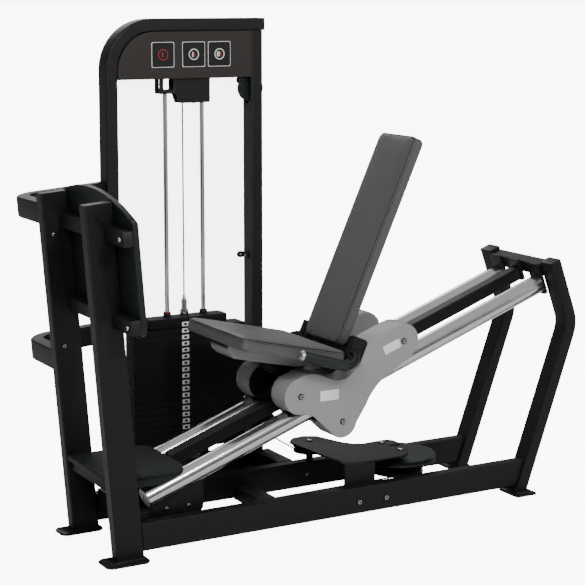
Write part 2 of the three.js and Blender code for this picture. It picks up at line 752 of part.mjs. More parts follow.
const backTilt = new THREE.Vector2(0.4137, 0.9104);   // up the backrest
const backNormal = new THREE.Vector2(0.9104, -0.4137); // from its face to its back
const backFoot = new THREE.Vector2(922, 650);
const backLength = 828;

function backBox(up0, up1, behind0, behind1, y0, y1, radius = 4) {
  const shape = roundedRect(behind0, behind1, up0, up1, radius);
  const geometry = acrossY(shape, y0, y1, 0, 2);
  const turn = new THREE.Matrix4().makeBasis(
    new THREE.Vector3(backNormal.x, 0, backNormal.y), Y, new THREE.Vector3(backTilt.x, 0, backTilt.y));
  return geometry.applyMatrix4(turn).translate(backFoot.x, 0, backFoot.y);
}

const toRails = new THREE.Matrix4()
  .makeTranslation(0, 0, railFootHeight)
  .multiply(new THREE.Matrix4().makeRotationY(-railTilt));
const fromRails = toRails.clone().invert();

// Shroud over one rail's rollers: outer face and rim, open towards the frame's side plate.
function carriagePod(sign) {
  const open = podInner + podSkin + gap;
  const [y0, y1] = span(sign, open, podOuter);
  const [c0, c1] = span(sign, open - 20, podOuter - podSkin);
  const shell = acrossY(podOutline(0), y0, y1, 3, 4);
  const hollow = acrossY(podOutline(-podSkin), c0, c1, 0, 4);
  const railWay = block(600, 1500, c0, c1, -46, 46);
  const lowWay = rod('y', 61, c0, c1, rollers.low[0], rollers.low[1], 28);
  const tubeWay = backBox(-27, 49, 49.8, 88.5, -400, 400).applyMatrix4(fromRails);
  return cut(shell, hollow, railWay, lowWay, tubeWay);
}

// Steel side plate of the carriage with the three roller axles standing on it.
function sidePlate(sign) {
  const [y0, y1] = span(sign, podInner, podInner + podSkin);
  const plate = cut(
    acrossY(podOutline(-1), y0, y1, 0, 4), rod('y', 42, -400, 400, 1130, 60, 24),
    backBox(-27, 49, 49.8, 88.5, -400, 400).applyMatrix4(fromRails));
  const [a0, a1] = span(sign, podInner + 1, podOuter - podSkin - gap);
  const axles = Object.values(rollers).map(([s, n]) => rod('y', 8, a0, a1, s, n));
  return join(plate, ...axles);
}

function roller() {
  const points = [[8.3, -36], [56, -36], [57.5, -34]];
  const contact = railRadius + 1.1;           // the faceted groove stays clear of the rail
  for (let k = -3; k <= 3; k += 1) {
    const across = k * 8.8;
    points.push([83 - Math.sqrt(contact * contact - across * across), across]);
  }
  points.push([57.5, 34], [56, 36], [8.3, 36]);
  return turned(points, 18);
}

const seatSlope = 0.2285;
const seatAngle = Math.atan(seatSlope);

// Cross tube in the pods' notch, end brackets, backrest post and the seat's bearers.
function carriageFrame() {
  const ends = podInner + 1;
  const tube = backBox(-26, 48, 50.5, 87, -186, 186, 5);
  const brackets = sides.map(([, sign]) => {
    const [y0, y1] = span(sign, 162, podOuter);
    return backBox(-26, 52, 25, 80, y0, y1, 5);
  });
  const post = backBox(30, 716, 51.5, 89, -38, 38, 5);
  const crossPlates = [150, 430, 660].map((up) => backBox(up, up + 50, 50.5, 59, -95, 95, 4));
  const deck = acrossY(roundedRect(880, 1110, 56, 64, 3), -ends, ends).applyMatrix4(toRails);
  const front = acrossY(roundedRect(868, 900, -62, 61, 5), -ends, ends).applyMatrix4(toRails);
  const lowBar = acrossY(roundedRect(868, 1010, -68, -56, 4), -ends, ends).applyMatrix4(toRails);
  const panLow = 100.4;
  const bearer = acrossY(new THREE.Shape([
    new THREE.Vector2(800, 484), new THREE.Vector2(880, 514),
    new THREE.Vector2(800, seatPlane(800, panLow)), new THREE.Vector2(690, seatPlane(690, panLow)),
    new THREE.Vector2(690, 560),
  ]), -40, 40);
  const backLeg = acrossY(roundedRect(1074, 1106, 59, 125, 5), -33, 33).applyMatrix4(toRails);
  const spineWay = block(800, 1200, -29, 29, -3, 54).applyMatrix4(toRails);
  const cross = cut(join(deck, front, lowBar), spineWay);
  const cheeks = sides.map(([, sign]) => sidePlate(sign).applyMatrix4(toRails));
  return join(tube, ...brackets, post, ...crossPlates, cross, ...cheeks, backLeg, bearer);
}

function seatPlane(x, below) {
  return 734.5 - seatSlope * (x - 506) - below / Math.cos(seatAngle);
}

function seatPan() {
  const shape = new THREE.Shape([
    new THREE.Vector2(503, seatPlane(503, 51)), new THREE.Vector2(508, seatPlane(508, 84)),
    new THREE.Vector2(530, seatPlane(530, 100)), new THREE.Vector2(800, seatPlane(800, 100)),
    new THREE.Vector2(905, seatPlane(905, 66)), new THREE.Vector2(905, seatPlane(905, 51)),
  ]);
  return acrossY(shape, -72, 72, 4);
}

function seatPad() {
  const shape = roundedRect(0, 442, -232.5, 232.5, 42);
  const pad = slab(shape, 50, 10, 6);
  pad.applyMatrix4(new THREE.Matrix4().makeRotationY(seatAngle));
  return pad.translate(485, 0, seatPlane(485, 50.6));
}

function backPad() {
  const shape = roundedRect(-125, 125, 0, backLength, 38);
  const pad = acrossX(shape, 0, 49.8, 9, 6);
  const turn = new THREE.Matrix4().makeBasis(
    new THREE.Vector3(backNormal.x, 0, backNormal.y), Y, new THREE.Vector3(backTilt.x, 0, backTilt.y));
  return pad.applyMatrix4(turn).translate(backFoot.x, 0, backFoot.y);
}

function grip(sign) {
  const y = sign * 272.5;
  const front = new THREE.Vector3(697, y, 658);
  const rear = new THREE.Vector3(879, y, 599);
  const along = rear.clone().sub(front).normalize();
  const handle = cableAlong([front, rear], 20, 16);
  const ahead = (distance) => front.clone().addScaledVector(along, distance);
  const cap = cableAlong([ahead(-12), ahead(4)], 18, 16);
  const points = [rear.clone().addScaledVector(along, -6)];
  const target = new THREE.Vector3(953, sign * (podOuter + gap), 628);
  const outside = (distance) => target.clone().add(new THREE.Vector3(0, sign * distance, 0));
  const bend = new THREE.CubicBezierCurve3(
    rear, rear.clone().addScaledVector(along, 34), outside(60), outside(8));
  points.push(...bend.getPoints(10), target);
  return join(handle, cap, cableAlong(points, 12, 12));
}

// ---- assembly: fixed frame ----
addBoth(machine, 'base_tube', 'frame', baseTube);
addBoth(leanFrame, 'front_upright', 'frame', frontUpright);
addBoth(machine, 'rear_post', 'frame', rearPost);
addPiece(railFrame, 'rear_cross_bar', 'frame', rearCrossBar());
addPiece(leanFrame, 'upper_cross_tube', 'frame', crossTube(crossTubes.upper));
addPiece(leanFrame, 'lower_cross_tube', 'frame', crossTube(crossTubes.lower));
addPiece(leanFrame, 'foot_plate', 'footPlate', footPlate());
addPiece(machine, 'upper_link_arm', 'frame', linkArm(1162.7, 1060, 1201));
addPiece(machine, 'lower_link_arm', 'frame', linkArm(631.5, 593, 712));
addPiece(machine, 'step_plate', 'step', stepPlate());
addBoth(railFrame, 'rail', 'chrome', (sign) => (
  rod('x', railRadius, railLow, railHigh, sign * railOffset, 0, 36)));
addPiece(railFrame, 'spine_beam', 'frame', acrossX(roundedRect(-25, 25, 2, 52, 5), 336, railHigh, 0, 2));
addPiece(machine, 'rail_foot_beam', 'frame', railFootBeam());
addPiece(machine, 'low_cross_beam', 'frame', lowCrossBeam());
addPiece(machine, 'low_pulley_bracket', 'frame', lowPulleyBracket());

// ---- assembly: tower ----
addPiece(machine, 'tower_bow', 'tower', towerBow());
addPiece(machine, 'tower_right_column', 'tower', towerRightColumn());
addPiece(machine, 'tower_base_beam_left', 'frame', towerBaseBeam(266, 315));
addPiece(machine, 'tower_base_beam_right', 'frame', towerBaseBeam(873, 935));
addPiece(machine, 'stack_base', 'frame', stackBase());
addPiece(machine, 'guide_rod_left', 'chrome', guideRod(guideRodX.left, rodHolders.left));
addPiece(machine, 'guide_rod_right', 'chrome', guideRod(guideRodX.right, rodHolders.right));
addPiece(machine, 'header_panel', 'header', headerPanel());
addPiece(machine, 'shield_panel', 'shield', shieldPanel());
addPiece(machine, 'top_pulley_bracket', 'tower', topPulleyBracket());
addPiece(machine, 'resting_plate', 'plates', restingPlate());

// ---- assembly: moving stack ----
addPiece(machine, 'head_plate', 'plates', headPlate());
addPiece(machine, 'lifted_plates', 'plates', liftedPlates());
addPiece(machine, 'selector_stem', 'chrome', selectorStem());
addPiece(machine, 'selector_pin', 'pin', selectorPin());
addPiece(machine, 'cable_stack_run', 'cable', cableAlong([
  new THREE.Vector3(cableX, stackY, headPlateTop + 78 + gap),
  new THREE.Vector3(cableX, stackY, topPulley.z - 0.5),
]));

// ---- assembly: cable drive ----
const axleBore = 8.3;
const wheelAt = (name, wheel, x, y, z) => {
  const mesh = addPiece(machine, name, 'pulley', wheel);
  mesh.position.set(x, y, z);
};
const smallWheel = (width = 22) => pulleyWheel(45, 51, width, axleBore);
wheelAt('top_pulley', smallWheel(), topPulley.x, stackY, topPulley.z);
wheelAt('column_pulley', smallWheel(), columnPulley.x, stackY, columnPulley.z);
wheelAt('base_pulley', smallWheel(18).rotateZ(Math.PI / 2), basePulley.x, basePulley.y, basePulley.z);
wheelAt('front_pulley', smallWheel(), frontPulley.x, frontPulley.y, frontPulley.z);
wheelAt('side_pulley', sideWheel(), sidePulley.x, sidePulley.y, sidePulley.z);
wheelAt('compound_pulley', compoundWheel(), drum.x, drum.y, 0);
addPiece(machine, 'weight_cable', 'cable', weightCable());
addPiece(machine, 'carriage_cable_low', 'cable', carriageCableLow());
addPiece(railFrame, 'carriage_cable_run', 'cable', carriageCableRun());

// ---- assembly: carriage ----
addBoth(railFrame, 'carriage_pod', 'shroud', carriagePod);
addPiece(machine, 'carriage_frame', 'frame', carriageFrame());
for (const [place, [s, n]] of Object.entries(rollers)) {
  for (const [side, sign] of sides) {
    const mesh = addPiece(railFrame, `roller_${place}_${side}`, 'pulley', roller());
    mesh.position.set(s, sign * railOffset, n);
  }
}
addPiece(machine, 'seat_pan', 'shroud', seatPan());
addPiece(machine, 'seat_pad', 'pad', seatPad());
addPiece(machine, 'back_pad', 'pad', backPad());
addBoth(machine, 'grip', 'grip', grip);

export default machine;
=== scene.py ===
import json
import math

import bmesh
import bpy
from mathutils import Matrix, Vector
from mathutils.bvhtree import BVHTree


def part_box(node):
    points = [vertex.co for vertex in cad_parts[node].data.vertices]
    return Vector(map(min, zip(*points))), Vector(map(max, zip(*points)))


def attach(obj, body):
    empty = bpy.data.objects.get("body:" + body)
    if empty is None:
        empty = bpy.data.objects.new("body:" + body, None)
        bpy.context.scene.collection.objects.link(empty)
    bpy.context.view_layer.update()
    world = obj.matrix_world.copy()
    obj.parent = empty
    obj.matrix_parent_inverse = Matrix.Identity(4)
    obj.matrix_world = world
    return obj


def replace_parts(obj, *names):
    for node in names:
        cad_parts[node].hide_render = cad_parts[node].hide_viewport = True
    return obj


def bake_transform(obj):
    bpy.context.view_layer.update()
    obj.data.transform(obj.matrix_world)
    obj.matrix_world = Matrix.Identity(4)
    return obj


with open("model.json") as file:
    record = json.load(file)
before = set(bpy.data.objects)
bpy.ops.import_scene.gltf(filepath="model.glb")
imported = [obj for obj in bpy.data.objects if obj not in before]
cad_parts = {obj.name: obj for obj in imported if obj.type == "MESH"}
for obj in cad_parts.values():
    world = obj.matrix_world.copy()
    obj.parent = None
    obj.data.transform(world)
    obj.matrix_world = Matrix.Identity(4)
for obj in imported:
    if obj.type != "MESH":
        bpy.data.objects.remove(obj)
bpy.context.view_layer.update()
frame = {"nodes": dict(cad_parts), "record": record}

bodyOf = {node: body for body, nodes in frame["record"]["behaviour"]["bodies"].items() for node in nodes}
slotOf = {part["node"]: part["material_slot"] for part in frame["record"]["subparts"]}

# machine millimetres, x from the front feet and y from the middle plane, to the frame's metres
machine = {"originX": 926.4, "originY": 76.0, "railTilt": 19.94, "railFoot": 131.0, "lean": 4.608}


def at(x, y, z):
    return Vector(((x - machine["originX"]) / 1000, (y - machine["originY"]) / 1000, z / 1000))


def onRails(s, y, n):
    tilt = math.radians(machine["railTilt"])
    x = s * math.cos(tilt) - n * math.sin(tilt)
    return at(x, y, machine["railFoot"] + s * math.sin(tilt) + n * math.cos(tilt))


def onUpright(depth, y, height):
    lean = math.radians(machine["lean"])
    x = depth * math.cos(lean) - height * math.sin(lean)
    return at(x, y, depth * math.sin(lean) + height * math.cos(lean))


# camera, lights and floor
def placeCamera():
    view = {"place": (-3.1252, -5.4002, 1.9207), "tilt": 81.951, "turn": -29.469, "lens": 103.73,
            "shiftY": -0.1026, "farthest": 900}
    data = bpy.data.cameras.new("studioCamera")
    data.lens = view["lens"]
    data.shift_y = view["shiftY"]
    data.clip_end = view["farthest"]
    camera = bpy.data.objects.new("studioCamera", data)
    camera.location = view["place"]
    camera.rotation_euler = (math.radians(view["tilt"]), 0, math.radians(view["turn"]))
    bpy.context.scene.collection.objects.link(camera)
    bpy.context.scene.camera = camera


def areaLight(name, place, target, size, power):
    data = bpy.data.lights.new(name, "AREA")
    data.size = size
    data.energy = power
    lamp = bpy.data.objects.new(name, data)
    lamp.location = place
    lamp.rotation_euler = (Vector(target) - Vector(place)).to_track_quat("-Z", "Y").to_euler()
    bpy.context.scene.collection.objects.link(lamp)


def lightStudio():
    studio = {"key": 190, "fill": 50, "back": 90, "strip": 70, "backdrop": 9.5, "high": 0.6, "level": 0.09,
              "fullBy": 0.8}
    areaLight("keyLight", (-3.5, -4.0, 4.6), (0, 0, 0.6), 2.4, studio["key"])
    areaLight("fillLight", (4.2, -3.2, 2.4), (0, 0, 0.7), 3.0, studio["fill"])
    areaLight("backLight", (1.0, 4.5, 4.0), (0, 0, 0.9), 3.0, studio["back"])
    areaLight("stripLight", (-0.6, -3.4, 3.0), (0.3, 0, 0.6), 0.5, studio["strip"])
    world = bpy.data.worlds.new("studioSky")
    bpy.context.scene.world = world
    world.use_nodes = True
    tree = world.node_tree
    dome = tree.nodes["Background"]
    dome.inputs["Color"].default_value = (1, 1, 1, 1)
    coords = tree.nodes.new("ShaderNodeTexCoord")
    split = tree.nodes.new("ShaderNodeSeparateXYZ")
    climb = tree.nodes.new("ShaderNodeMapRange")         # brighter overhead than at eye level
    climb.interpolation_type = "SMOOTHSTEP"
    climb.inputs["From Max"].default_value = studio["fullBy"]
    climb.inputs["To Min"].default_value = studio["level"]
    climb.inputs["To Max"].default_value = studio["high"]
    backdrop = tree.nodes.new("ShaderNodeBackground")
    backdrop.inputs["Strength"].default_value = studio["backdrop"]
    seen = tree.nodes.new("ShaderNodeLightPath")
    mix = tree.nodes.new("ShaderNodeMixShader")
    tree.links.new(coords.outputs["Generated"], split.inputs["Vector"])
    tree.links.new(split.outputs["Z"], climb.inputs["Value"])
    tree.links.new(climb.outputs["Result"], dome.inputs["Strength"])
    tree.links.new(seen.outputs["Is Camera Ray"], mix.inputs["Fac"])
    tree.links.new(dome.outputs["Background"], mix.inputs[1])
    tree.links.new(backdrop.outputs["Background"], mix.inputs[2])
    tree.links.new(mix.outputs["Shader"], tree.nodes["World Output"].inputs["Surface"])


def layFloor():
    floorLook = {"size": 400, "drop": 0.0005, "pale": 0.8, "rough": 0.9, "glow": 8.8}
    mesh = bpy.data.meshes.new("studioFloor")
    bm = bmesh.new()
    bmesh.ops.create_circle(bm, cap_ends=True, radius=floorLook["size"], segments=96)
    bm.to_mesh(mesh)
    bm.free()
    floor = bpy.data.objects.new("studioFloor", mesh)
    floor.location.z = -floorLook["drop"]
    bpy.context.scene.collection.objects.link(floor)
    material = bpy.data.materials.new("paleFloor")
    material.use_nodes = True
    tree = material.node_tree
    shader = tree.nodes["Principled BSDF"]
    shader.inputs["Base Color"].default_value = (*[floorLook["pale"]] * 3, 1)
    shader.inputs["Roughness"].default_value = floorLook["rough"]
    shader.inputs["Emission Color"].default_value = (1, 1, 1, 1)
    seen = tree.nodes.new("ShaderNodeLightPath")
    glow = tree.nodes.new("ShaderNodeMath")
    glow.operation = "MULTIPLY"
    glow.inputs[1].default_value = floorLook["glow"]
    tree.links.new(seen.outputs["Is Camera Ray"], glow.inputs[0])
    tree.links.new(glow.outputs[0], shader.inputs["Emission Strength"])
    mesh.materials.append(material)


# effects shared by the finishes
def newGroup(name, amounts, results, colours=()):
    group = bpy.data.node_groups.new(name, "ShaderNodeTree")
    for label in colours:
        group.interface.new_socket(label, in_out="INPUT", socket_type="NodeSocketColor")
    for label, amount in amounts.items():
        socket = group.interface.new_socket(label, in_out="INPUT", socket_type="NodeSocketFloat")
        socket.default_value = amount
    for label in results:
        kind = "NodeSocketColor" if label in colours else "NodeSocketFloat"
        group.interface.new_socket(label, in_out="OUTPUT", socket_type=kind)
    start = group.nodes.new("NodeGroupInput")
    end = group.nodes.new("NodeGroupOutput")
    coords = group.nodes.new("ShaderNodeTexCoord")
    return group, start, end, coords


def noiseNode(group, coords, start, scaleSocket, detail, stretch=None):
    noise = group.nodes.new("ShaderNodeTexNoise")
    noise.inputs["Detail"].default_value = detail
    source = coords.outputs["Object"]
    if stretch:
        mapping = group.nodes.new("ShaderNodeMapping")
        mapping.inputs["Scale"].default_value = stretch
        group.links.new(source, mapping.inputs["Vector"])
        source = mapping.outputs["Vector"]
    group.links.new(source, noise.inputs["Vector"])
    group.links.new(start.outputs[scaleSocket], noise.inputs["Scale"])
    return noise


def mathNode(group, operation, fixed=()):
    node = group.nodes.new("ShaderNodeMath")
    node.operation = operation
    for socket, value in fixed:
        node.inputs[socket].default_value = value
    return node


def makeColourDrift():
    amounts = {"Scale": 4.0, "Amount": 0.1}
    group, start, end, coords = newGroup("colourDrift", amounts, ["Colour"], ["Colour"])
    noise = noiseNode(group, coords, start, "Scale", 4.0)
    spread = mathNode(group, "MULTIPLY_ADD", [(2, 1.0)])
    centred = mathNode(group, "SUBTRACT", [(1, 0.5)])
    group.links.new(noise.outputs["Fac"], centred.inputs[0])
    group.links.new(centred.outputs[0], spread.inputs[0])
    group.links.new(start.outputs["Amount"], spread.inputs[1])
    tint = group.nodes.new("ShaderNodeVectorMath")
    tint.operation = "SCALE"
    group.links.new(start.outputs["Colour"], tint.inputs[0])
    group.links.new(spread.outputs[0], tint.inputs["Scale"])
    group.links.new(tint.outputs[0], end.inputs["Colour"])
    return group


def makeRoughDrift():
    amounts = {"Base": 0.5, "Spread": 0.1, "Scale": 12.0}
    group, start, end, coords = newGroup("roughDrift", amounts, ["Roughness"])
    noise = noiseNode(group, coords, start, "Scale", 6.0)
    span = mathNode(group, "MULTIPLY_ADD")
    group.links.new(noise.outputs["Fac"], span.inputs[0])
    group.links.new(start.outputs["Spread"], span.inputs[1])
    group.links.new(start.outputs["Base"], span.inputs[2])
    group.links.new(span.outputs[0], end.inputs["Roughness"])
    return group


def makePaintPeel():
    group, start, end, coords = newGroup("paintPeel", {"Scale": 600.0, "Fine": 2400.0}, ["Height"])
    broad = noiseNode(group, coords, start, "Scale", 2.0)
    fine = noiseNode(group, coords, start, "Fine", 1.0)
    blend = mathNode(group, "MULTIPLY_ADD", [(1, 0.35)])
    group.links.new(fine.outputs["Fac"], blend.inputs[0])
    group.links.new(broad.outputs["Fac"], blend.inputs[2])
    group.links.new(blend.outputs[0], end.inputs["Height"])
    return group


def makeHideGrain():
    group, start, end, coords = newGroup("hideGrain", {"Scale": 420.0, "Crease": 40.0}, ["Height"])
    cells = group.nodes.new("ShaderNodeTexVoronoi")
    cells.feature = "DISTANCE_TO_EDGE"
    group.links.new(coords.outputs["Object"], cells.inputs["Vector"])
    group.links.new(start.outputs["Scale"], cells.inputs["Scale"])
    ridge = group.nodes.new("ShaderNodeMapRange")
    ridge.inputs["From Max"].default_value = 0.18
    group.links.new(cells.outputs["Distance"], ridge.inputs["Value"])
    crease = noiseNode(group, coords, start, "Crease", 5.0)
    total = mathNode(group, "MULTIPLY_ADD", [(1, 0.6)])
    group.links.new(ridge.outputs["Result"], total.inputs[0])
    group.links.new(crease.outputs["Fac"], total.inputs[2])
    group.links.new(total.outputs[0], end.inputs["Height"])
    return group


def makeBrushLines():
    group, start, end, coords = newGroup("brushLines", {"Scale": 90.0}, ["Height"])
    lines = noiseNode(group, coords, start, "Scale", 6.0, (0.12, 9.0, 9.0))
    group.links.new(lines.outputs["Fac"], end.inputs["Height"])
    return group


effects = {
    "colourDrift": makeColourDrift(), "roughDrift": makeRoughDrift(), "paintPeel": makePaintPeel(),
    "hideGrain": makeHideGrain(), "brushLines": makeBrushLines(),
}


def place(tree, effect, **values):
    node = tree.nodes.new("ShaderNodeGroup")
    node.node_tree = effects[effect]
    for label, value in values.items():
        node.inputs[label].default_value = value
    return node


# every finish: a drifting colour, a drifting roughness and a bump of its own
def finish(name, look, effect, effectValues):
    material = bpy.data.materials.new(name)
    material.use_nodes = True
    tree = material.node_tree
    shader = tree.nodes["Principled BSDF"]
    shader.inputs["Metallic"].default_value = look["metal"]
    shader.inputs["Specular IOR Level"].default_value = look["gloss"]
    shader.inputs["Coat Weight"].default_value = look["coat"]
    shader.inputs["Coat Roughness"].default_value = 0.25
    shader.inputs["Sheen Weight"].default_value = look["sheen"]
    colour = place(tree, "colourDrift", Colour=(*look["colour"], 1), Scale=look["driftScale"],
                   Amount=look["drift"])
    rough = place(tree, "roughDrift", Base=look["rough"], Spread=look["roughSpread"],
                  Scale=look["roughScale"])
    height = place(tree, effect, **effectValues)
    relief = tree.nodes.new("ShaderNodeBump")
    relief.inputs["Strength"].default_value = look["bump"]
    relief.inputs["Distance"].default_value = look["depth"]
    tree.links.new(colour.outputs["Colour"], shader.inputs["Base Color"])
    tree.links.new(rough.outputs["Roughness"], shader.inputs["Roughness"])
    tree.links.new(height.outputs["Height"], relief.inputs["Height"])
    tree.links.new(relief.outputs["Normal"], shader.inputs["Normal"])
    return material


plain = {"drift": 0.12, "driftScale": 5.0, "roughSpread": 0.12, "roughScale": 14.0, "bump": 0.1,
         "depth": 0.0005, "metal": 0.0, "gloss": 0.5, "coat": 0.0, "sheen": 0.0}


def paint(name, colour, rough, scale=480.0, fine=2200.0, **rest):
    look = plain | {"colour": colour, "rough": rough} | rest
    return finish(name, look, "paintPeel", {"Scale": scale, "Fine": fine})


def hide(name, colour, rough, scale, crease, **rest):
    look = plain | {"colour": colour, "rough": rough} | rest
    return finish(name, look, "hideGrain", {"Scale": scale, "Crease": crease})


def brushed(name, colour, rough, scale, **rest):
    look = plain | {"colour": colour, "rough": rough, "metal": 1.0, "bump": 0.05, "depth": 0.0003} | rest
    return finish(name, look, "brushLines", {"Scale": scale})


finishes = {
    "frame": paint("charcoalPowderCoat", (0.0062, 0.0063, 0.0065), 0.42, depth=0.0006, gloss=0.2),
    "tower": paint("towerPowderCoat", (0.0085, 0.0087, 0.009), 0.42, depth=0.0006, gloss=0.22),
    "foot_plate": paint("footPlateCoat", (0.0035, 0.0056, 0.0062), 0.42, drift=0.1, bump=0.08, gloss=0.3),
    "shroud": paint("shroudPowderCoat", (0.24, 0.24, 0.24), 0.42, drift=0.05),
    "chrome": brushed("polishedRail", (0.60, 0.60, 0.61), 0.13, 120.0, drift=0.06, driftScale=9.0),
    "pad": hide("padVinyl", (0.058, 0.058, 0.0585), 0.42, 520.0, 34.0, drift=0.14, driftScale=7.0,
                roughSpread=0.14, bump=0.28, depth=0.0008, coat=0.05, sheen=0.05),
    "plates": paint("castPlatePaint", (0.0032, 0.0034, 0.0038), 0.55, 260.0, 1400.0, drift=0.2, bump=0.3,
                    depth=0.0012, gloss=0.2),
    "header": paint("headerPanelCoat", (0.022, 0.018, 0.0165), 0.45, drift=0.08, bump=0.08, gloss=0.25),
    "pulley": paint("tealNylon", (0.0045, 0.0078, 0.0088), 0.4, 320.0, 1500.0, drift=0.1, bump=0.12,
                    depth=0.0006, gloss=0.3),
    "cable": paint("cableJacket", (0.006, 0.006, 0.0062), 0.42, 900.0, 2600.0, bump=0.2, depth=0.0004,
                   gloss=0.35),
    "grip": hide("gripSleeve", (0.0035, 0.0062, 0.007), 0.38, 700.0, 90.0, drift=0.15, bump=0.25,
                 depth=0.0006, gloss=0.4),
    "step": hide("stepTexture", (0.0042, 0.0068, 0.0076), 0.6, 260.0, 70.0, drift=0.25, bump=0.7,
                 depth=0.0012, gloss=0.35),
    "pin": paint("redKnob", (0.28, 0.02, 0.02), 0.3, bump=0.06, depth=0.0004),
    "tile": paint("labelTile", (0.72, 0.72, 0.72), 0.4, drift=0.03, bump=0.03, depth=0.0003),
    "mark": paint("darkMark", (0.004, 0.004, 0.0043), 0.45, bump=0.03, depth=0.0003, gloss=0.3),
    "bolt": brushed("zincBolt", (0.46, 0.46, 0.47), 0.28, 300.0, drift=0.1, driftScale=60.0),
    "plug": brushed("satinPlug", (0.55, 0.55, 0.56), 0.5, 200.0, drift=0.06, driftScale=40.0),
    "tread": hide("treadRubber", (0.010, 0.0105, 0.011), 0.8, 300.0, 60.0, drift=0.2, bump=0.5,
                  depth=0.001),
}


def guardSheet():
    material = bpy.data.materials.new("guardSheet")
    material.use_nodes = True
    tree = material.node_tree
    shader = tree.nodes["Principled BSDF"]
    shader.inputs["Base Color"].default_value = (0.9, 0.93, 0.93, 1)
    shader.inputs["Alpha"].default_value = 0.24
    rough = place(tree, "roughDrift", Base=0.12, Spread=0.1, Scale=6.0)
    tree.links.new(rough.outputs["Roughness"], shader.inputs["Roughness"])
    return material


finishes["shield"] = guardSheet()
print("finishes ready")


# making pieces
def newPiece(name, mesh, slot, body, materialKey=None):
    piece = bpy.data.objects.new(name, mesh)
    bpy.context.scene.collection.objects.link(piece)
    mesh.materials.clear()
    mesh.materials.append(finishes[materialKey or slot])
    if body:
        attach(piece, body)
    return piece


def meshFrom(name, bm, smoothAngle):
    mesh = bpy.data.meshes.new(name)
    bmesh.ops.recalc_face_normals(bm, faces=bm.faces)
    bm.to_mesh(mesh)
    bm.free()
    mesh.shade_smooth()
    mesh.set_sharp_from_angle(angle=math.radians(smoothAngle))
    return mesh


def weighNormals(piece):
    modifier = piece.modifiers.new("weighted", "WEIGHTED_NORMAL")
    modifier.keep_sharp = True
    modifier.weight = 100


# a carried-over hard piece with its rolled edges shaded smooth
def refine(node, smoothAngle=50):
    name = node + "_surface"
    bm = bmesh.new()
    bm.from_mesh(frame["nodes"][node].data)
    bmesh.ops.remove_doubles(bm, verts=bm.verts, dist=1e-5)
    piece = newPiece(name, meshFrom(name, bm, smoothAngle), slotOf[node], bodyOf[node])
    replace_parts(piece, node)
    weighNormals(piece)


# faces from ring to ring, closed at both ends unless the last ring joins the first
def skin(bm, rings, looped=False):
    count = len(rings[0])
    following = rings[1:] + rings[:1] if looped else rings[1:]
    for here, after in zip(rings, following):
        for k in range(count):
            bm.faces.new((here[k], here[(k + 1) % count], after[(k + 1) % count], after[k]))
    if not looped:
        bm.faces.new(rings[0][::-1])
        bm.faces.new(rings[-1])


# a profile of (radius, height) turned about an axis, looped where there is a bore
def turnedMesh(name, profile, centre, axis, steps=48, looped=False, smoothAngle=40):
    bm = bmesh.new()
    turn = Matrix.Translation(centre) @ Vector(axis).to_track_quat("Z", "Y").to_matrix().to_4x4()
    angles = [2 * math.pi * k / steps for k in range(steps)]
    rings = []
    for radius, height in profile:
        rings.append([bm.verts.new(turn @ Vector((radius * math.cos(a), radius * math.sin(a), height)))
                      for a in angles])
    skin(bm, rings, looped)
    return meshFrom(name, bm, smoothAngle)


def roundBar(name, node, low, high, radius):
    length = (high - low).length
    edge = min(0.002, radius * 0.2)
    profile = [(radius - edge, 0), (radius, edge), (radius, length - edge), (radius - edge, length)]
    mesh = turnedMesh(name, profile, low, high - low, 96)
    piece = newPiece(name, mesh, "chrome", bodyOf[node])
    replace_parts(piece, node)


# a plate with rounded corners: facing is its width's and height's directions, size is in metres
def plateMesh(name, corner, facing, size, radius, edge):
    bm = bmesh.new()
    cornerSteps = 6
    across, up = (Vector(way).normalized() for way in facing)
    out = across.cross(up)
    width, height, thickness = size
    flat = []
    for cx, cy, start in ((width - radius, radius, -90), (width - radius, height - radius, 0),
                          (radius, height - radius, 90), (radius, radius, 180)):
        for k in range(cornerSteps + 1):
            angle = math.radians(start + 90 * k / cornerSteps)
            flat.append((cx + radius * math.cos(angle), cy + radius * math.sin(angle)))
    middle = Vector((width / 2, height / 2))
    rings = []
    for inset, depth in ((edge, 0), (0, edge), (0, thickness - edge), (edge, thickness)):
        ring = []
        for spot in flat:
            point = middle + (Vector(spot) - middle) * (1 - inset / (min(width, height) / 2))
            ring.append(bm.verts.new(corner + across * point.x + up * point.y + out * depth))
        rings.append(ring)
    skin(bm, rings)
    return meshFrom(name, bm, 35)


def plate(name, slot, body, corner, facing, size, radius, key=None, edge=0.0015):
    newPiece(name, plateMesh(name, corner, facing, size, radius, edge), slot, body, key)


# fasteners: a domed bolt head on a washer, as (part of the head's radius, height)
boltShape = {
    "profile": [(1.45, 0), (1.45, 0.0018), (1, 0.0019), (1, 0.004), (0.9, 0.0062), (0.6, 0.0072),
                (0.5, 0.0072), (0.48, 0.004)],
    # the head's zinc band, as parts of its radius: the black washer lies outside it and the socket inside it
    # is painted shade
    "bright": (0.52, 1.05),
}


def bolts(name, body, spots, axis, radius):
    profile = [(radius * part, height) for part, height in boltShape["profile"]]
    inner, outer = boltShape["bright"]
    for k, spot in enumerate(spots):
        mesh = turnedMesh(f"{name}_{k}", profile, spot, axis, 24)
        newPiece(f"{name}_{k}", mesh, "chrome", body, "bolt")
        mesh.materials.append(finishes["mark"])          # black washer, and the hex socket inside the head painted dark as shade in its recess
        for face in mesh.polygons:
            away = face.center - Vector(spot)
            reach = (away - away.project(Vector(axis))).length
            face.material_index = 0 if radius * inner < reach < radius * outer else 1


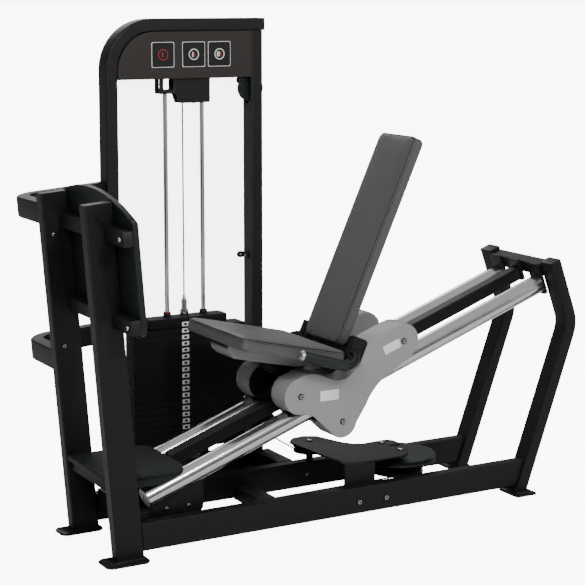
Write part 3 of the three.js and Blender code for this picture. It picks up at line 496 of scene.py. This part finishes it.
# frame, tower and other hard pieces
placeCamera()
lightStudio()
layFloor()
builtHere = {"rail_near", "rail_far", "guide_rod_left", "guide_rod_right", "seat_pad", "back_pad",
             "selector_pin", "cable_stack_run", "carriage_cable_run", "grip_near", "grip_far",
             "top_pulley", "column_pulley", "base_pulley", "side_pulley", "front_pulley", "compound_pulley"}
for node in sorted(bodyOf):
    if node not in builtHere and not node.startswith("roller_"):
        refine(node, 30 if slotOf[node] == "plates" else 50)

leanAngle = math.radians(machine["lean"])
leanUp = Vector((-math.sin(leanAngle), 0, math.cos(leanAngle)))
leanBack = Vector((math.cos(leanAngle), 0, math.sin(leanAngle)))
tiltAngle = math.radians(machine["railTilt"])
railAlong = Vector((math.cos(tiltAngle), 0, math.sin(tiltAngle)))
railUp = Vector((-math.sin(tiltAngle), 0, math.cos(tiltAngle)))


# the roller frame's side plates are grey over the rear rollers, like the pods
def paintSidePlates():
    greyPlate = {"from": 1085, "inner": 80.3, "outer": 86.8}
    mesh = bpy.data.objects["carriage_frame_surface"].data
    mesh.materials.append(finishes["shroud"])
    for face in mesh.polygons:
        across = abs(face.center.y * 1000 + machine["originY"])
        along = (face.center - onRails(greyPlate["from"], 0, 0)).dot(railAlong)
        if greyPlate["inner"] < across < greyPlate["outer"] and along > 0:
            face.material_index = 1


paintSidePlates()
print("frame dressed")

sides = (("near", -1), ("far", 1))
rail = {"offset": 130.5, "low": 155, "high": 1959.7, "radius": 0.0365}
for side, sign in sides:
    ends = [onRails(s, sign * rail["offset"], 0) for s in (rail["low"], rail["high"])]
    roundBar("rail_bar_" + side, "rail_" + side, *ends, rail["radius"])
guides = {"left": 521.5, "right": 676.4, "y": 471.5, "cable": 594.2, "radius": 0.0085}
for side in ("left", "right"):
    low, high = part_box("guide_rod_" + side)
    foot = at(guides[side], guides["y"], low.z * 1000)
    top = Vector((foot.x, foot.y, high.z))
    roundBar("guide_bar_" + side, "guide_rod_" + side, foot, top, guides["radius"])


# rollers and pulleys
def hub(profile, name, node, centre, axis):
    mesh = turnedMesh(name, profile, centre, axis, 72, looped=True)
    piece = newPiece(name, mesh, "pulley", bodyOf[node])
    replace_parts(piece, node)
    weighNormals(piece)


def rollerProfile():
    roller = {"bore": 0.0083, "hub": 0.022, "dishFrom": 0.024, "dishTo": 0.048, "tyre": 0.05, "rim": 0.0575,
              "half": 0.036, "dishHalf": 0.031, "rimHalf": 0.034, "bevel": 0.002, "reach": 0.083,
              "groove": 0.0374, "wide": 0.0265}
    half, dish = roller["half"], roller["dishHalf"]
    cheek = [(roller["bore"], -half), (roller["hub"], -half), (roller["dishFrom"], -dish),
             (roller["dishTo"], -dish), (roller["tyre"], -half), (roller["rim"] - roller["bevel"], -half),
             (roller["rim"], -roller["rimHalf"])]
    groove = []
    for k in range(-8, 9):
        across = roller["wide"] * k / 8
        groove.append((roller["reach"] - math.sqrt(roller["groove"] ** 2 - across ** 2), across))
    return cheek + groove + [(r, -h) for r, h in cheek[::-1]]


rollerSpots = {"front": (815.6, 83), "low": (942.5, -83), "rear": (1283.5, 83)}
for spot, (s, n) in rollerSpots.items():
    for side, sign in sides:
        node = f"roller_{spot}_{side}"
        hub(rollerProfile(), node + "_wheel", node, onRails(s, sign * rail["offset"], n), (0, 1, 0))


def pulleyProfile(line, rim, half):
    bore, boss, dish, bevel = 0.0083, 0.012, 0.003, 0.001
    floor = line - 0.0033                                # the bottom of the cable's groove
    cheek = [(bore, -half), (bore + boss, -half), (bore + boss + bevel, -half + dish),
             (floor - 0.006, -half + dish), (floor - 0.005, -half), (rim - bevel, -half),
             (rim, -half + bevel), (rim, -half + dish)]
    return cheek + [(floor, -dish), (floor - 0.0008, 0), (floor, dish)] + [(r, -h) for r, h in cheek[::-1]]


# centre, axis, radius at the cable's line, rim and half width
pulleys = {
    "top_pulley": (at(639.2, guides["y"], 1560), (0, 1, 0), 0.045, 0.051, 0.011),
    "column_pulley": (at(887, guides["y"], 1560), (0, 1, 0), 0.045, 0.051, 0.011),
    "base_pulley": (at(932, 426.5, 231), (1, 0, 0), 0.045, 0.051, 0.009),
    "front_pulley": (at(225, -57.5, 123), (0, 1, 0), 0.045, 0.051, 0.011),
    "side_pulley": (at(990, 185.5, 176), (0, 0, 1), 0.058, 0.064, 0.011),
}
for node, (centre, axis, line, rim, half) in pulleys.items():
    hub(pulleyProfile(line, rim, half), node + "_wheel", node, centre, axis)
refine("compound_pulley", 35)
print("wheels turned")

# straight cable runs, each a plain tube from end to end, tied to no body
cable = {"radius": 0.003, "inset": 0.001}


def stretchRun(node, low, high):
    profile = [(cable["radius"], 0), (cable["radius"], (high - low).length)]
    mesh = turnedMesh(node + "_line", profile, low, high - low, 16)
    piece = newPiece(node + "_line", mesh, "cable", None)
    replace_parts(piece, node)
    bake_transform(piece)


stackLow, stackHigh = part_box("cable_stack_run")
cableTop = at(guides["cable"], guides["y"], stackHigh.z * 1000)
stretchRun("cable_stack_run", Vector((cableTop.x, cableTop.y, stackLow.z)), cableTop)
runLow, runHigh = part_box("carriage_cable_run")
runMiddle = (runLow.y + runHigh.y) / 2
runStart = Vector((runLow.x + cable["inset"], runMiddle, runLow.z + cable["radius"]))
runEnd = Vector((runHigh.x - cable["inset"], runMiddle, runHigh.z - cable["radius"]))
stretchRun("carriage_cable_run", runStart, runEnd)


# upholstery
def padRing(pad, inset, count=96):
    w, l = pad["width"] / 2 - inset, pad["length"] / 2 - inset
    radius = max(min(pad["corner"] - inset * 0.6, w, l), 0.004)
    points = []
    per = count // 4
    for cx, cy, start in ((w - radius, l - radius, 0), (radius - w, l - radius, 90),
                          (radius - w, radius - l, 180), (w - radius, radius - l, 270)):
        for k in range(per):
            angle = math.radians(start + 90 * k / (per - 1))
            points.append((cx + radius * math.cos(angle), cy + radius * math.sin(angle)))
    return points


# layers of (inset, height): the base board, the side, and the crown in ten parts
def padMesh(name, pad):
    bm = bmesh.new()
    side = pad["side"]
    layers = [(0.05, 0.0), (0.004, 0.0), (0.0005, 0.004), (0.0015, side * 0.5), (0.0, side - 0.002),
              (0.002, side + 0.0015)]
    reach = min(pad["width"], pad["length"]) / 2
    for k in range(1, 10):
        t = k / 10
        layers.append((0.002 + t * reach * 0.93, side + 0.0015 + pad["crown"] * (1 - (1 - t) ** 2.6)))
    rings = []
    for inset, height in layers:
        rings.append([bm.verts.new((x, y, height)) for x, y in padRing(pad, inset)])
    skin(bm, rings)
    bmesh.ops.remove_doubles(bm, verts=bm.verts, dist=1e-5)
    return meshFrom(name, bm, 180)


def evaluatedMesh(piece):
    bpy.context.view_layer.update()
    graph = bpy.context.evaluated_depsgraph_get()
    return bpy.data.meshes.new_from_object(piece.evaluated_get(graph))


def runModifier(piece):
    result = evaluatedMesh(piece)
    piece.modifiers.clear()
    return result


cover = {"voxel": 0.0065, "pressure": 4.0, "quality": 4, "frames": 14, "quickFrames": 6}


def inflate(piece, pad):
    remesh = piece.modifiers.new("even", "REMESH")
    remesh.mode = "VOXEL"
    remesh.voxel_size = cover["voxel"]
    piece.data = runModifier(piece)
    start = [v.co.copy() for v in piece.data.vertices]
    cloth = piece.modifiers.new("cover", "CLOTH")
    cloth.settings.use_pressure = True
    cloth.settings.uniform_pressure_force = cover["pressure"]
    cloth.settings.effector_weights.gravity = 0
    cloth.settings.quality = cover["quality"]
    frames = cover["frames"]
    for step in range(1, frames + 1):
        bpy.context.scene.frame_set(step)
    mesh = runModifier(piece)
    bpy.context.scene.frame_set(1)
    for vertex, rest in zip(mesh.vertices, start):
        move = vertex.co - rest
        hold = min(1.0, max(0.0, rest.z / pad["side"]))  # the base board keeps its flat
        limit = pad["cap"] * hold
        if move.length > limit:
            move = move.normalized() * limit
        vertex.co = rest + move
    piece.data = mesh
    subdivide = piece.modifiers.new("fine", "SUBSURF")
    subdivide.levels = 1
    subdivide.render_levels = 1
    piece.data = runModifier(piece)
    piece.data.shade_smooth()


def cordMesh(name, path, radius, roundness, looped):
    curve = bpy.data.curves.new(name, "CURVE")
    curve.dimensions = "3D"
    curve.bevel_depth = radius
    curve.bevel_resolution = roundness
    curve.use_fill_caps = not looped
    spline = curve.splines.new("POLY")
    spline.points.add(len(path) - 1)
    for point, spot in zip(spline.points, path):
        point.co = (*spot, 1)
    spline.use_cyclic_u = looped
    cord = bpy.data.objects.new(name + "_curve", curve)
    bpy.context.scene.collection.objects.link(cord)
    mesh = evaluatedMesh(cord)
    bpy.data.objects.remove(cord)
    mesh.shade_smooth()
    return mesh


# a cord laid on the cushion's own surface, all the way round it
def seamLine(name, pad, shell, height, sunk, radius, matrix, body):
    path = []
    for x, y in padRing(pad, 0.0, 160):
        origin = Vector((x * 1.3, y * 1.3, height))
        hit = shell.ray_cast(origin, (Vector((x * 0.3, y * 0.3, height)) - origin).normalized())[0]
        if hit is not None and (not path or (hit - path[-1]).length > 0.002):
            path.append(hit - Vector((x, y, 0)).normalized() * sunk)
    mesh = cordMesh(name, path, radius, 3, True)
    mesh.transform(matrix)
    newPiece(name, mesh, "pad", body, "mark")


def makePad(name, node, pad, matrix):
    piece = newPiece(name, padMesh(name, pad), "pad", None)
    inflate(piece, pad)
    piece.data.materials.clear()
    piece.data.materials.append(finishes["pad"])
    points, faces = piece.data.vertices, piece.data.polygons
    shell = BVHTree.FromPolygons([v.co for v in points], [f.vertices for f in faces])
    piece.data.transform(matrix)
    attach(piece, bodyOf[node])
    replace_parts(piece, node)
    seamLine(name + "_welt", pad, shell, pad["side"], 0.0005, 0.0019, matrix, bodyOf[node])
    seamLine(name + "_stitch", pad, shell, pad["side"] - 0.006, 0.0004, 0.0009, matrix, bodyOf[node])
    print(name, "upholstered")


def frameAxes(xAxis, yAxis, zAxis, place):
    matrix = Matrix((xAxis, yAxis, zAxis)).transposed().to_4x4()
    matrix.translation = place
    return matrix


seatPad = {"width": 0.439, "length": 0.463, "corner": 0.03, "side": 0.042, "crown": 0.012, "cap": 0.004,
           "slope": 0.2285, "front": 485, "level": 506, "height": 734.5, "thick": 0.0508, "middle": 0.221}
seatDrop = math.atan(seatPad["slope"])
seatAlong = Vector((math.cos(seatDrop), 0, -math.sin(seatDrop)))
seatUp = Vector((math.sin(seatDrop), 0, math.cos(seatDrop)))
seatTop = seatPad["height"] - seatPad["slope"] * (seatPad["front"] - seatPad["level"])
seatCorner = at(seatPad["front"], 0, seatTop) - seatUp * seatPad["thick"]
seatMatrix = frameAxes(seatAlong, Vector((0, 1, 0)), seatUp, seatCorner + seatAlong * seatPad["middle"])
makePad("seat_cushion", "seat_pad", seatPad, seatMatrix)

backPad = {"width": 0.826, "length": 0.249, "corner": 0.03, "side": 0.0445, "crown": 0.0045, "cap": 0.0025,
           "along": 0.4137, "rise": 0.9104, "footX": 922, "footZ": 650, "thick": 0.0496, "middle": 0.414}
backUp = Vector((backPad["along"], 0, backPad["rise"]))
backFace = Vector((-backPad["rise"], 0, backPad["along"]))
backFoot = at(backPad["footX"], 0, backPad["footZ"])
backMiddle = backFoot + backUp * backPad["middle"] - backFace * backPad["thick"]
makePad("back_cushion", "back_pad", backPad, frameAxes(backUp, Vector((0, -1, 0)), backFace, backMiddle))


# hand grips: smooth sleeve, steel arm and bright end cap
def bezier(a, b, c, d, steps=16):
    points = []
    for k in range(steps + 1):
        t = k / steps
        points.append(a * (1 - t) ** 3 + b * 3 * t * (1 - t) ** 2 + c * 3 * t * t * (1 - t) + d * t ** 3)
    return points


def handGrip(side, sign):
    grip = {"y": 272.5, "front": (697, 658), "rear": (879, 599), "post": (953, 188.8, 628), "end": 0.014,
            "shoulder": 0.0185, "radius": 0.02, "arm": 0.0119, "tuck": 0.004, "run": 0.034, "bend": 0.06,
            "join": 0.008}
    (frontX, frontZ), (rearX, rearZ) = grip["front"], grip["rear"]
    front, rear = at(frontX, sign * grip["y"], frontZ), at(rearX, sign * grip["y"], rearZ)
    along = (rear - front).normalized()
    length = (rear - front).length
    sleeveEnd = [(grip["end"], 0), (grip["shoulder"], 0.0012), (grip["radius"], 0.004)]
    profile = sleeveEnd + [(r, length - h) for r, h in sleeveEnd[::-1]]
    sleeveMesh = turnedMesh("grip_sleeve_" + side, profile, front, along, 64, smoothAngle=60)
    sleeve = newPiece("grip_sleeve_" + side, sleeveMesh, "grip", bodyOf["grip_" + side])
    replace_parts(sleeve, "grip_" + side)
    dome = [(0.004, -0.012), (0.010, -0.0112), (0.0150, -0.0088), (0.0182, -0.004), (0.0192, 0.0),
            (0.0165, 0.001)]
    capMesh = turnedMesh("grip_cap_" + side, dome, front, along)
    newPiece("grip_cap_" + side, capMesh, "chrome", "carriage", "bolt")
    postX, postY, postZ = grip["post"]
    post = at(postX, sign * postY, postZ)
    out = Vector((0, sign, 0))
    path = bezier(rear - along * grip["tuck"], rear + along * grip["run"], post + out * grip["bend"],
                  post + out * grip["join"]) + [post]
    armMesh = cordMesh("grip_arm_" + side, path, grip["arm"], 8, False)
    armMesh.set_sharp_from_angle(angle=math.radians(50))
    newPiece("grip_arm_" + side, armMesh, "frame", "carriage", "frame")


for side, sign in sides:
    handGrip(side, sign)
print("grips ready")

# caps, labels, latches, tread and fasteners: the ways that a plate can face
toFront = ((1, 0, 0), (0, 0, 1))
onTop = (leanBack, (0, 1, 0))
onPost = (railAlong, (0, 1, 0))
onPod = (railAlong, railUp)


def tubeCaps():
    cap = {"upright": (172.5, 1235.2, 0.0996, 0.048), "post": (159.5, 90.2, 0.049, 0.075), "thick": 0.0012,
           "round": 0.006, "crossRound": 0.004}
    cross = {"upper": 1132, "lower": 836.6, "end": 367.6, "bolt": 347.5, "low": 25}
    thick = cap["thick"]
    for side, sign in sides:
        inner, top, along, wide = cap["upright"]
        low = min(sign * inner, sign * (inner + 50)) + 1
        plate(f"upright_cap_{side}", "frame", "frame", onUpright(1, low, top), onTop, (along, wide, thick),
              cap["round"], "mark")
        inner, top, along, wide = cap["post"]
        low = min(sign * inner, sign * (inner + 76)) + 0.5
        plate(f"post_cap_{side}", "frame", "frame", onRails(1971.5, low, top), onPost, (along, wide, thick),
              cap["round"], "mark")
    for name in ("upper", "lower"):
        for side, sign in sides:
            shift = Vector((0, 0.0 if sign < 0 else thick, 0))
            corner = onUpright(63.8, sign * cross["end"], cross[name] - cross["low"]) + shift
            plate(f"cross_cap_{name}_{side}", "frame", "frame", corner, (leanBack, leanUp),
                  (0.0375, 0.0502, thick), cap["crossRound"], "mark")
            spot = onUpright(63.4, sign * cross["bolt"], cross[name])
            bolts(f"cross_bolt_{name}_{side}", "frame", [spot], -leanBack, 0.0085)


def frameBolts():
    head = {"base": 0.0085, "small": 0.0065, "pod": 0.0078, "bracket": 0.0095}
    podFace, footFace, baseFace, farFace, bracketTop = 188.6, 136.5, -222.5, 172.5, 204.1
    toNear = (0, -1, 0)
    bolts("base_bolt_near", "frame", [at(966, baseFace, 72), at(1083, baseFace, 72)], toNear, head["base"])
    bolts("base_bolt_far", "frame", [at(727, farFace, 60), at(970, farFace, 78)], toNear, head["small"])
    linkSpots = [onUpright(33, farFace, 1089), onUpright(33, farFace, 686)]
    bolts("upright_bolt_far", "frame", linkSpots, toNear, head["small"])
    for side, sign in sides:
        axles = [onRails(s, sign * podFace, n) for s, n in rollerSpots.values()]
        bolts("pod_axle_" + side, "carriage", axles, (0, sign, 0), head["pod"])
        footSpots = [at(225, sign * footFace, 138), at(310, sign * footFace, 138)]
        bolts("rail_foot_bolt_" + side, "frame", footSpots, (0, sign, 0), head["small"])
    bracketSpots = [at(1217, 20, bracketTop), at(1226, -97, bracketTop), at(990, 185.5, bracketTop)]
    bolts("bracket_bolt", "frame", bracketSpots, (0, 0, 1), head["bracket"])


def railEnds():
    plug = {"radius": 0.0352, "thick": 0.0015, "gap": 0.1, "screw": 0.0042, "screwUp": 0.012}
    disc = [(plug["radius"] - 0.0008, 0), (plug["radius"], 0.0006),
            (plug["radius"] - 0.0006, plug["thick"])]
    for side, sign in sides:
        name = "rail_plug_" + side
        spot = onRails(rail["low"] - plug["gap"], sign * rail["offset"], 0)
        newPiece(name, turnedMesh(name, disc, spot, -railAlong, 64), "chrome", "frame", "plug")
        screw = spot - railAlong * plug["thick"] + railUp * plug["screwUp"]
        bolts("rail_screw_" + side, "frame", [screw], -railAlong, plug["screw"])


def podLabels():
    label = {"skin": -188.6, "thick": 0.0006, "round": 0.003, "edge": 0.0002}
    blanks = (("front", at(819, label["skin"], 460), toFront, 0.078, 0.038),
              ("rear", onRails(1192, label["skin"], 69), onPod, 0.074, 0.034))
    for name, corner, facing, width, height in blanks:
        plate("pod_label_" + name, "shroud", "carriage", corner, facing, (width, height, label["thick"]),
              label["round"], "tile", label["edge"])


def stackTrim():
    label = {"width": 0.030, "height": 0.017, "thick": 0.0008, "pitch": 25.4, "top": 664.0, "count": 20,
             "x": 563, "low": 8.5, "lifted": 19}
    mark = {"size": (0.012, 0.009, 0.0005), "shift": (0.009, -label["thick"], 0.004)}
    # the pin holes are flat dark discs on the plates' faces, painted shade in place of real holes
    hole = {"x": 602, "profile": [(0.006, 0), (0.006, 0.0008)]}
    front = 427.5
    for k in range(label["count"]):
        z = label["top"] - k * label["pitch"]
        body = "stack" if k < label["lifted"] else "frame"
        corner = at(label["x"], front - 0.05, z - label["low"])
        plate(f"plate_label_{k}", "plates", body, corner, toFront,
              (label["width"], label["height"], label["thick"]), 0.002, "tile", 0.0002)
        markCorner = corner + Vector(mark["shift"])
        plate(f"plate_mark_{k}", "plates", body, markCorner, toFront, mark["size"], 0.001, "mark", 0.0001)
        holeShadeSpot = at(hole["x"], front - 0.1, z)
        holeShadeMesh = turnedMesh(f"pin_hole_shade_{k}", hole["profile"], holeShadeSpot, (0, -1, 0), 20)
        newPiece(f"pin_hole_shade_{k}", holeShadeMesh, "plates", body, "mark")
    buffer = {"inner": 0.0092, "outer": 0.0145, "thick": 0.003, "z": 706.2}
    place = at(guides["left"], guides["y"], buffer["z"])
    ringMesh = turnedMesh("rod_buffer_ring", ringProfile(buffer), place, (0, 0, 1), looped=True)
    newPiece("rod_buffer_ring", ringMesh, "plates", "stack", "pin")


def ringProfile(ring):
    return [(ring["inner"], 0), (ring["outer"], 0), (ring["outer"], ring["thick"]),
            (ring["inner"], ring["thick"])]


def headerTiles():
    tile = {"spans": ((453, 542), (580, 671), (688, 780)), "face": 433.8, "low": 1650, "height": 0.091,
            "thick": 0.002, "rim": 0.002, "round": 0.006}
    ring = {"inner": 0.018, "outer": 0.021, "thick": 0.001}
    bar = {"size": (0.0045, 0.019, 0.001), "pitch": 0.007, "low": 0.036}
    # dark sheets behind the header's corner arc and top edge: painted shade in the seams where the header
    # meets the bow
    seamShadeSheets = (("header_seam_shade", at(300, 450, 1620), (0.3, 0.175, 0.001), 0.085),
                ("header_seam_shade_top", at(430, 451.5, 1772), (0.455, 0.02, 0.001), 0.004))
    for name, corner, size, cornerRound in seamShadeSheets:
        plate(name, "header", "frame", corner, toFront, size, cornerRound, "mark")
    for k, (start, end) in enumerate(tile["spans"]):
        corner = at(start, tile["face"], tile["low"])
        width = (end - start) / 1000
        rimCorner = corner - Vector((tile["rim"], 0, tile["rim"]))
        rimSize = (width + 2 * tile["rim"], tile["height"] + 2 * tile["rim"], 0.0012)
        plate(f"header_rim_{k}", "header", "frame", rimCorner, toFront, rimSize, tile["round"], "tile",
              0.0003)
        size = (width, tile["height"], tile["thick"])
        plate(f"header_tile_{k}", "header", "frame", corner, toFront, size, tile["round"], "mark", 0.0004)
        middle = corner + Vector((width / 2, -tile["thick"], tile["height"] / 2))
        ringMesh = turnedMesh(f"header_ring_{k}", ringProfile(ring), middle, (0, -1, 0), looped=True)
        newPiece(f"header_ring_{k}", ringMesh, "header", "frame", "tile" if k else "pin")
        for j in range(k + 1):
            shift = width / 2 - 0.004 - 0.0035 * k + bar["pitch"] * j
            barCorner = corner + Vector((shift, -tile["thick"], bar["low"]))
            plate(f"header_bar_{k}_{j}", "header", "frame", barCorner, toFront, bar["size"], 0.001,
                  "pin" if j == k else "tile", 0.0002)


def guardLatches():
    latch = {"upper": 1590, "lower": 905, "height": 0.025, "thick": 0.012, "reach": 0.031, "strap": 0.045,
             "strapThick": 0.007, "eye": 0.0042, "round": 0.0115, "face": 506.4}
    low = Vector((0, 0, latch["height"] / 2))
    for k, z in enumerate((latch["upper"], latch["lower"])):
        plate(f"guard_latch_{k}", "pulley", "frame", at(842, latch["face"], z) - low, toFront,
              (latch["reach"], latch["height"], latch["thick"]), latch["round"], "mark", 0.003)
        plate(f"guard_strap_{k}", "pulley", "frame", at(873.2, 503, z) - low, ((0, -1, 0), (0, 0, 1)),
              (latch["strap"], latch["height"], latch["strapThick"]), latch["round"], "mark", 0.002)
        eyeSpot = at(853, latch["face"] - 1000 * latch["thick"], z)
        bolts(f"latch_eye_{k}", "frame", [eyeSpot], (0, -1, 0), latch["eye"])
        bolts(f"strap_eye_{k}", "frame", [at(866, 472, z)], (-1, 0, 0), latch["eye"])


def treadMat():
    tread = {"bars": 9, "low": 836, "pitch": 38, "wide": 320, "narrow": 250, "narrowAbove": 1150,
             "face": 120.5, "thick": 0.0028, "height": 0.024, "round": 0.006}
    for k in range(tread["bars"]):
        height = tread["low"] + k * tread["pitch"]
        half = tread["wide"] if height < tread["narrowAbove"] else tread["narrow"]
        corner = onUpright(tread["face"], half, height)
        size = (half * 2 / 1000, tread["height"], tread["thick"])
        plate(f"tread_bar_{k}", "step", "frame", corner, ((0, -1, 0), leanUp), size, tread["round"], "tread",
              0.0008)


def pinKnob():
    low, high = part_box("selector_pin")
    middle = (low + high) / 2
    length = high.y - low.y
    profile = [(0.008, 0), (0.0145, 0.0012), (0.0175, 0.006), (0.018, 0.012), (0.0172, 0.024),
               (0.012, 0.029), (0.005, 0.0295), (0.005, length - 0.002), (0.0035, length)]
    mesh = turnedMesh("pin_knob", profile, Vector((middle.x, low.y, middle.z)), (0, 1, 0))
    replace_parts(newPiece("pin_knob", mesh, "pin", "pin"), "selector_pin")


tubeCaps()
frameBolts()
railEnds()
podLabels()
stackTrim()
headerTiles()
guardLatches()
treadMat()
pinKnob()
print("trim ready")
